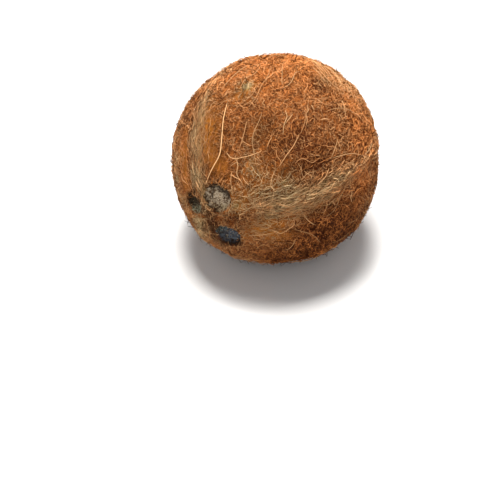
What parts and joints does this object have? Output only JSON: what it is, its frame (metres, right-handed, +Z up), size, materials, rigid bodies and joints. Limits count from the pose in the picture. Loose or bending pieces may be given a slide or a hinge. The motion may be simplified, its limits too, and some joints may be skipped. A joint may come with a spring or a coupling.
{
  "type": "coconut",
  "caption": "Husked ripe coconut: a hard, nearly round nut in a thin matted coat of coir, with raised seams, sunken eyes at one end and loose strands.",
  "frame": {"origin": "on the flat spot that the nut lies on, straight under the middle of its widest section", "axes": "+Z up; the nut lies on its side with its axis along Y, the eye end facing -Y and the blunt tip facing +Y"},
  "size_m": [0.1106, 0.1139, 0.1079],
  "materials": {
    "coir": "dry matted coconut fibre over a hard brown shell, fully matt"
  },
  "bodies": {
    "root": {"coconut": "coir"}
  },
  "joints": []
}
